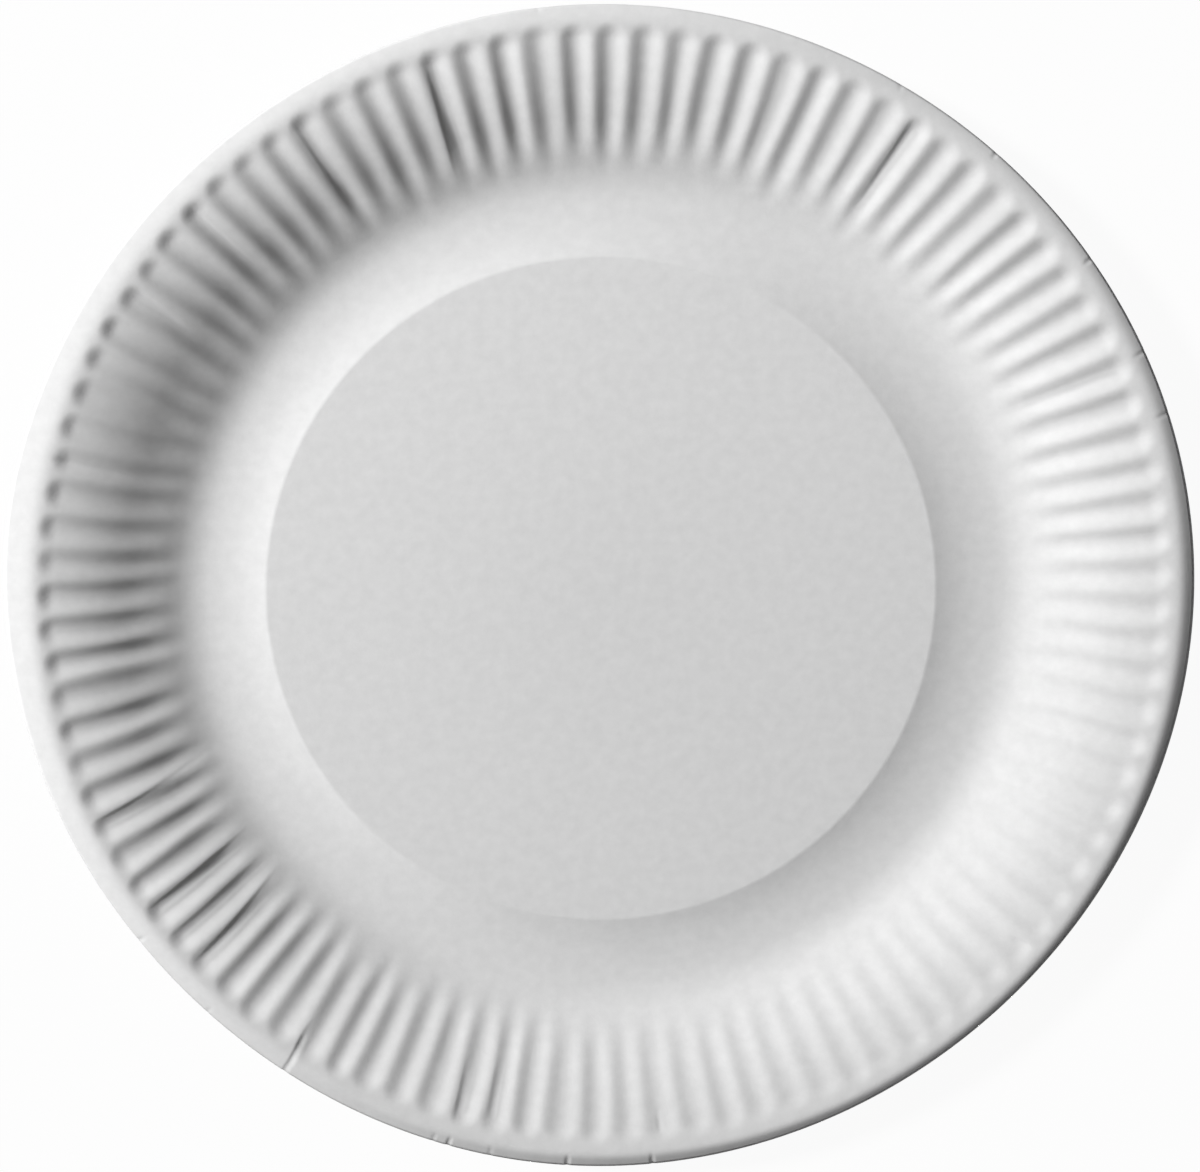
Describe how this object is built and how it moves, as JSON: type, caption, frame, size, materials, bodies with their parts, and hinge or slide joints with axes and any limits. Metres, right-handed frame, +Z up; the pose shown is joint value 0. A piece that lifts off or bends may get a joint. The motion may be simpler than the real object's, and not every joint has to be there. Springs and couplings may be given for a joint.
{
  "type": "paper plate",
  "caption": "Round pressed paperboard plate with a raised flat floor, a foot groove round it, a sloping wall of fine radial flutes and a plain turned-down lip.",
  "frame": {"origin": "middle of the plate, on the surface that its foot ring rests on", "axes": "+Z up out of the dish, +X along the longer diameter of the slightly oval lip, +Y along the shorter one"},
  "size_m": [0.23, 0.2276, 0.0134],
  "materials": {
    "board": "uncoated white paperboard, matt, with a fine fibrous grain"
  },
  "bodies": {
    "root": {"plate": "board"}
  },
  "joints": []
}
